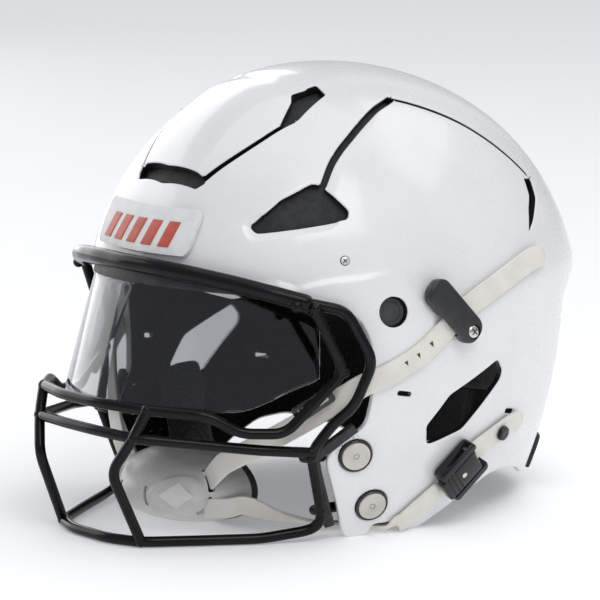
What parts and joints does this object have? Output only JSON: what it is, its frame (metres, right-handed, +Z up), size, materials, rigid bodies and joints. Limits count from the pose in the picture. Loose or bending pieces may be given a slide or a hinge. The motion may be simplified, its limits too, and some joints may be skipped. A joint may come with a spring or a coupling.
{
  "type": "american football helmet",
  "caption": "Hard-shell american football helmet with welded face mask, curved visor, padded liner and a strapped chin cup; the mask lifts off and its releases and strap levers move.",
  "frame": {"origin": "middle of the helmet's footprint, on the surface it rests on", "axes": "+Z up to the crown, -Y the way the wearer faces, +X to the wearer's left"},
  "size_m": [0.2572, 0.3337, 0.246],
  "materials": {
    "shell_white": "satin white polycarbonate",
    "nameplate_rubber": "off-white soft moulding",
    "edge_rubber": "matt black",
    "mask_steel": "gloss black coating on steel bar",
    "visor_clear": "clear to smoked polycarbonate with a light mirror",
    "cup_white": "satin white",
    "chin_foam": "black foam lining",
    "liner_foam": "dark grey covered foam",
    "plug_grey": "dark grey",
    "strap_urethane": "cream, supple, satin",
    "buckle_black": "semi-gloss black moulding",
    "button_silver": "satin silver-white",
    "nickel": "nickel plated"
  },
  "bodies": {
    "helmet": {"shell": "shell_white", "front_nameplate": "nameplate_rubber", "rear_bumper": "edge_rubber", "chin_cup": "cup_white", "chin_pad": "chin_foam", "front_pad": "liner_foam", "rear_pad": "liner_foam", "crown_pad": "liner_foam", "side_pad_left": "liner_foam", "jaw_pad_left": "liner_foam", "jaw_edge_left": "edge_rubber", "temple_plug_left": "plug_grey", "shell_screw_left": "nickel", "upper_strap_left": "strap_urethane", "rear_strap_left": "strap_urethane", "jaw_strap_left": "strap_urethane", "upper_buckle_left": "buckle_black", "buckle_screw_left": "nickel", "lower_buckle_frame_left": "buckle_black", "lower_buckle_pin_left": "nickel", "strap_stud_left": "buckle_black", "release_cup_upper_left": "buckle_black", "release_cup_lower_left": "buckle_black", "side_pad_right": "liner_foam", "jaw_pad_right": "liner_foam", "jaw_edge_right": "edge_rubber", "temple_plug_right": "plug_grey", "shell_screw_right": "nickel", "upper_strap_right": "strap_urethane", "rear_strap_right": "strap_urethane", "jaw_strap_right": "strap_urethane", "upper_buckle_right": "buckle_black", "buckle_screw_right": "nickel", "lower_buckle_frame_right": "buckle_black", "lower_buckle_pin_right": "nickel", "strap_stud_right": "buckle_black", "release_cup_upper_right": "buckle_black", "release_cup_lower_right": "buckle_black"},
    "mask": {"facemask": "mask_steel", "visor": "visor_clear", "visor_clip_left": "buckle_black", "visor_clip_right": "buckle_black"},
    "release_button_upper_left": {"release_button_upper_left": "button_silver"},
    "release_button_lower_left": {"release_button_lower_left": "button_silver"},
    "buckle_lever_left": {"lower_buckle_lever_left": "buckle_black"},
    "release_button_upper_right": {"release_button_upper_right": "button_silver"},
    "release_button_lower_right": {"release_button_lower_right": "button_silver"},
    "buckle_lever_right": {"lower_buckle_lever_right": "buckle_black"}
  },
  "joints": [
    {"name": "mask_lift_off", "type": "slide", "parent": "helmet", "child": "mask", "axis": [0, -1, 0], "range_m": [0, 0.06]},
    {"name": "release_press_upper_left", "type": "slide", "parent": "helmet", "child": "release_button_upper_left", "axis": [-0.9046, 0.3658, 0.2187], "range_m": [0, 0.002], "stiffness_N_per_m": 1500},
    {"name": "release_press_lower_left", "type": "slide", "parent": "helmet", "child": "release_button_lower_left", "axis": [-0.9081, 0.2439, 0.3405], "range_m": [0, 0.002], "stiffness_N_per_m": 1500},
    {"name": "release_press_upper_right", "type": "slide", "parent": "helmet", "child": "release_button_upper_right", "axis": [0.9046, 0.3658, 0.2187], "range_m": [0, 0.002], "stiffness_N_per_m": 1500},
    {"name": "release_press_lower_right", "type": "slide", "parent": "helmet", "child": "release_button_lower_right", "axis": [0.9081, 0.2439, 0.3405], "range_m": [0, 0.002], "stiffness_N_per_m": 1500},
    {"name": "buckle_flip_left", "type": "hinge", "parent": "helmet", "child": "buckle_lever_left", "pos_m": [0.11629, 0.0171, 0.03852], "axis": [0.2446, -0.7024, 0.6684], "range_deg": [0, 60]},
    {"name": "buckle_flip_right", "type": "hinge", "parent": "helmet", "child": "buckle_lever_right", "pos_m": [-0.11629, 0.0171, 0.03852], "axis": [0.2446, 0.7024, -0.6684], "range_deg": [0, 60]}
  ]
}
